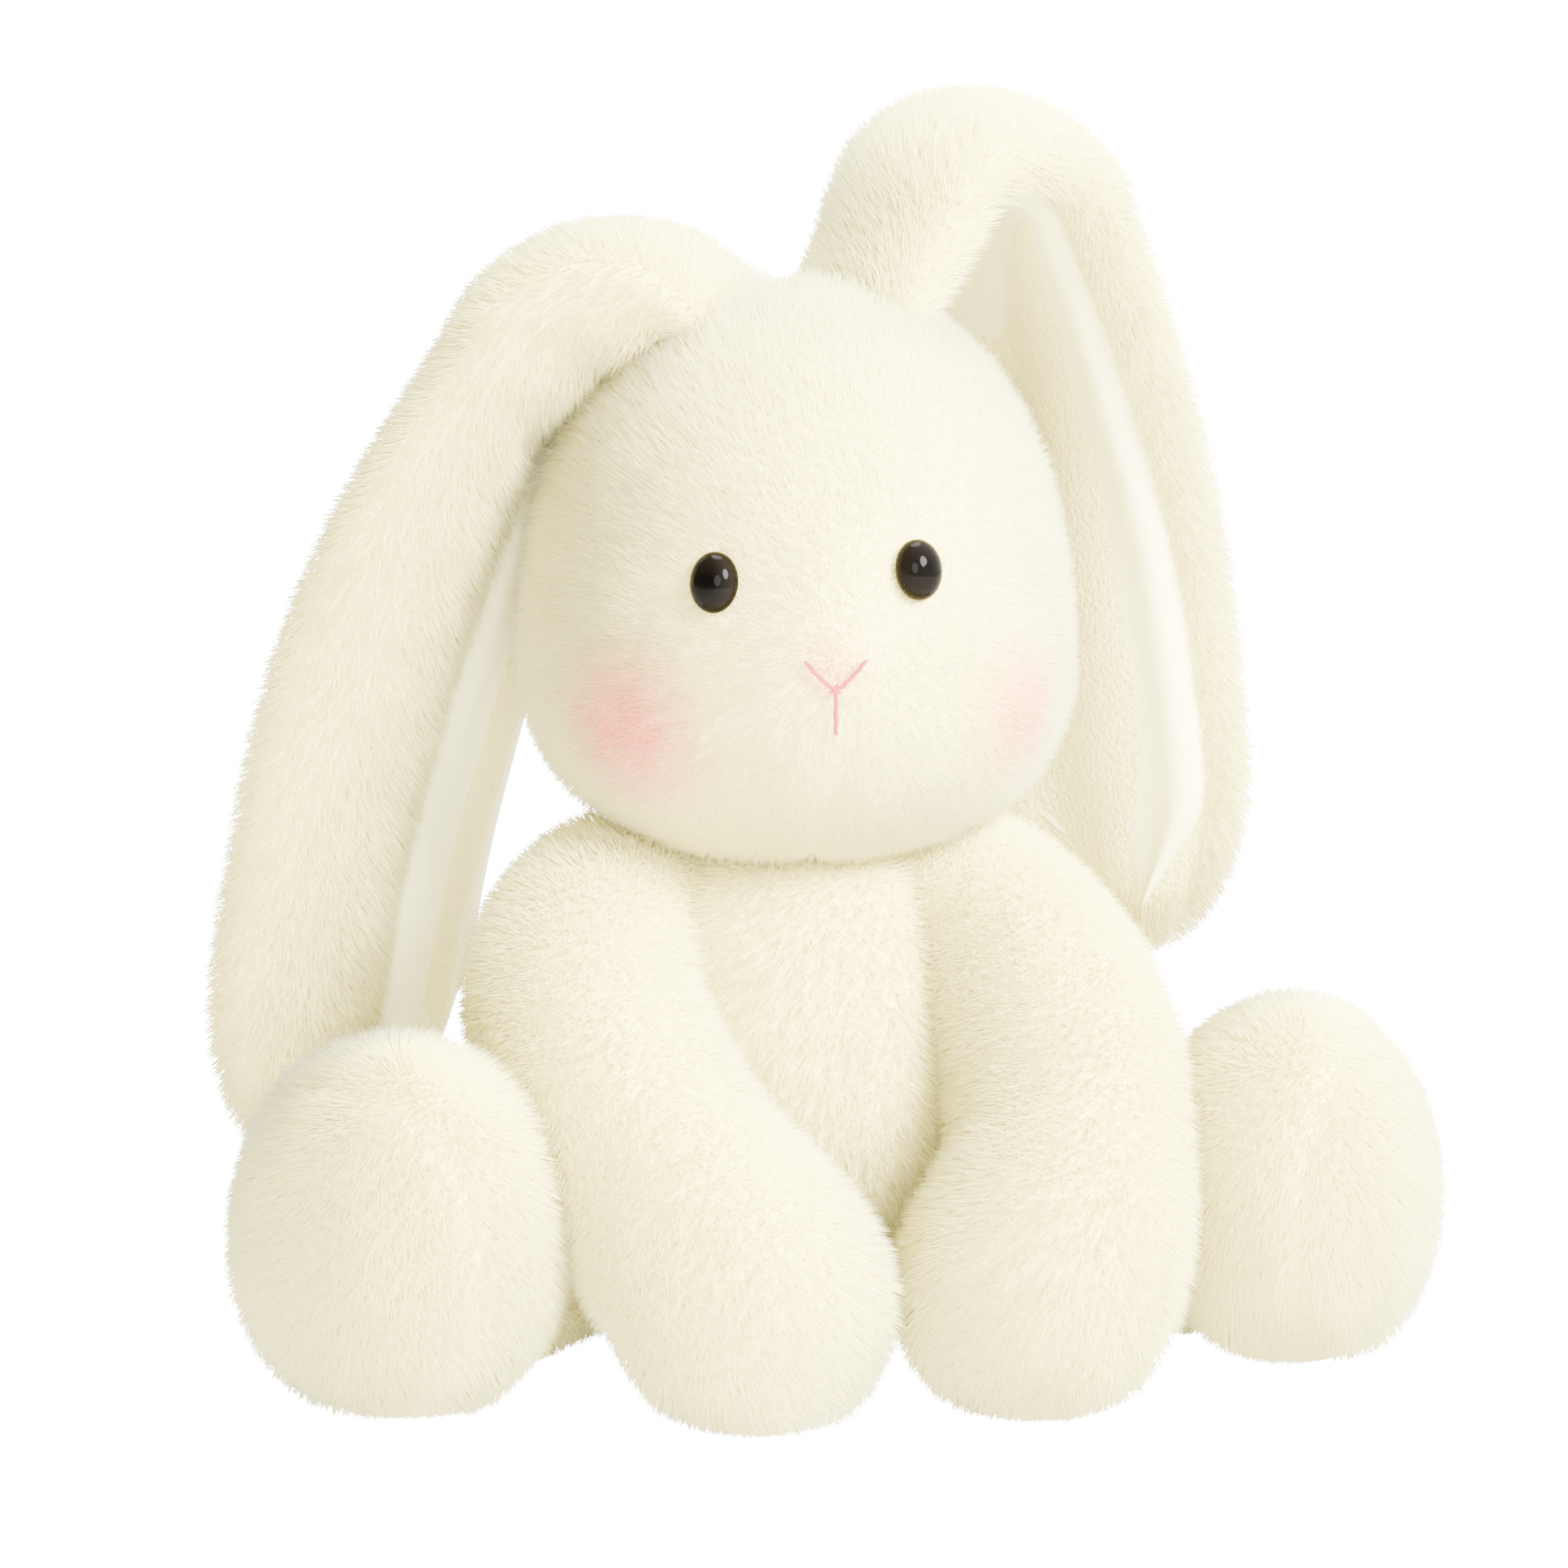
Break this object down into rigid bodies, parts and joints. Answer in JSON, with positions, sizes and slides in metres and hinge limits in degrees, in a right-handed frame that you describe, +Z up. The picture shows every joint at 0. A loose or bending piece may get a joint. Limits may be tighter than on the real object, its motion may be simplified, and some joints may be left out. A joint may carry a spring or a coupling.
{
  "type": "stuffed bunny rabbit",
  "caption": "Sitting plush rabbit with long floppy ears, glossy eyes, an embroidered nose and soft limbs that bend at sewn joints.",
  "frame": {"origin": "middle of the flat seat, on the surface the rabbit sits on", "axes": "+Z up, -Y the way the rabbit faces, +X the rabbit's left"},
  "size_m": [0.2869, 0.2134, 0.3004],
  "materials": {
    "ivory_fur": "matte",
    "ear_satin": "satin",
    "polyester_fibre": "matte",
    "bean_cloth": "matte",
    "washer_plastic": "satin",
    "eye_plastic": "gloss",
    "pink_thread": "satin",
    "label_satin": "satin"
  },
  "bodies": {
    "torso": {"torso_skin": "ivory_fur", "torso_stuffing": "polyester_fibre", "seat_bean_pouch": "bean_cloth", "tail_skin": "ivory_fur", "tail_stuffing": "polyester_fibre", "blank_label": "label_satin"},
    "neck": {"neck_stuffing": "polyester_fibre"},
    "head": {"head_skin": "ivory_fur", "head_stuffing": "polyester_fibre", "left_eye": "eye_plastic", "right_eye": "eye_plastic", "left_eye_washer": "washer_plastic", "right_eye_washer": "washer_plastic", "nose_embroidery": "pink_thread"},
    "left_ear_root": {"left_ear_root_back": "ivory_fur", "left_ear_root_lining": "ear_satin", "left_ear_root_wadding": "polyester_fibre"},
    "left_ear_flap": {"left_ear_flap_back": "ivory_fur", "left_ear_flap_lining": "ear_satin", "left_ear_flap_wadding": "polyester_fibre"},
    "right_ear_root": {"right_ear_root_back": "ivory_fur", "right_ear_root_lining": "ear_satin", "right_ear_root_wadding": "polyester_fibre"},
    "right_ear_flap": {"right_ear_flap_back": "ivory_fur", "right_ear_flap_lining": "ear_satin", "right_ear_flap_wadding": "polyester_fibre"},
    "left_arm": {"left_arm_skin": "ivory_fur", "left_arm_stuffing": "polyester_fibre"},
    "right_arm": {"right_arm_skin": "ivory_fur", "right_arm_stuffing": "polyester_fibre"},
    "left_leg": {"left_leg_skin": "ivory_fur", "left_leg_stuffing": "polyester_fibre"},
    "left_foot": {"left_foot_skin": "ivory_fur", "left_foot_stuffing": "polyester_fibre", "left_foot_bean_pouch": "bean_cloth"},
    "right_leg": {"right_leg_skin": "ivory_fur", "right_leg_stuffing": "polyester_fibre"},
    "right_foot": {"right_foot_skin": "ivory_fur", "right_foot_stuffing": "polyester_fibre", "right_foot_bean_pouch": "bean_cloth"}
  },
  "joints": [
    {"name": "neck_turn", "type": "hinge", "parent": "torso", "child": "neck", "pos_m": [0, 0, 0.119], "axis": [0, 0, 1], "range_deg": [-6, 6]},
    {"name": "neck_nod", "type": "hinge", "parent": "neck", "child": "head", "pos_m": [0, 0, 0.119], "axis": [1, 0, 0], "range_deg": [-3, 4]},
    {"name": "left_ear_lift", "type": "hinge", "parent": "head", "child": "left_ear_root", "pos_m": [0.017, 0.009, 0.247], "axis": [0.2079, -0.9781, 0], "range_deg": [0, 6]},
    {"name": "left_ear_bend", "type": "hinge", "parent": "left_ear_root", "child": "left_ear_flap", "pos_m": [0.04689, 0.01535, 0.28639], "axis": [0.2079, -0.9781, 0], "range_deg": [0, 16]},
    {"name": "right_ear_lift", "type": "hinge", "parent": "head", "child": "right_ear_root", "pos_m": [-0.019, 0.009, 0.249], "axis": [0.1378, 0.9358, 0.3244], "range_deg": [0, 6]},
    {"name": "right_ear_bend", "type": "hinge", "parent": "right_ear_root", "child": "right_ear_flap", "pos_m": [-0.03898, 0.0076, 0.25704], "axis": [-0.0698, 0.9976, 0], "range_deg": [0, 16]},
    {"name": "left_arm_raise", "type": "hinge", "parent": "torso", "child": "left_arm", "pos_m": [0.047, -0.008, 0.099], "axis": [-1, 0, 0], "range_deg": [0, 40]},
    {"name": "right_arm_raise", "type": "hinge", "parent": "torso", "child": "right_arm", "pos_m": [-0.047, -0.008, 0.099], "axis": [-1, 0, 0], "range_deg": [0, 40]},
    {"name": "left_leg_spread", "type": "hinge", "parent": "torso", "child": "left_leg", "pos_m": [0.044, -0.008, 0.026], "axis": [0, 0, 1], "range_deg": [0, 8]},
    {"name": "left_foot_tilt", "type": "hinge", "parent": "left_leg", "child": "left_foot", "pos_m": [0.08952, -0.0423, 0.0227], "axis": [0.6018, 0.7986, 0], "range_deg": [0, 6]},
    {"name": "right_leg_spread", "type": "hinge", "parent": "torso", "child": "right_leg", "pos_m": [-0.044, -0.008, 0.026], "axis": [0, 0, -1], "range_deg": [0, 8]},
    {"name": "right_foot_tilt", "type": "hinge", "parent": "right_leg", "child": "right_foot", "pos_m": [-0.08569, -0.04687, 0.0227], "axis": [0.682, -0.7314, 0], "range_deg": [0, 6]}
  ]
}
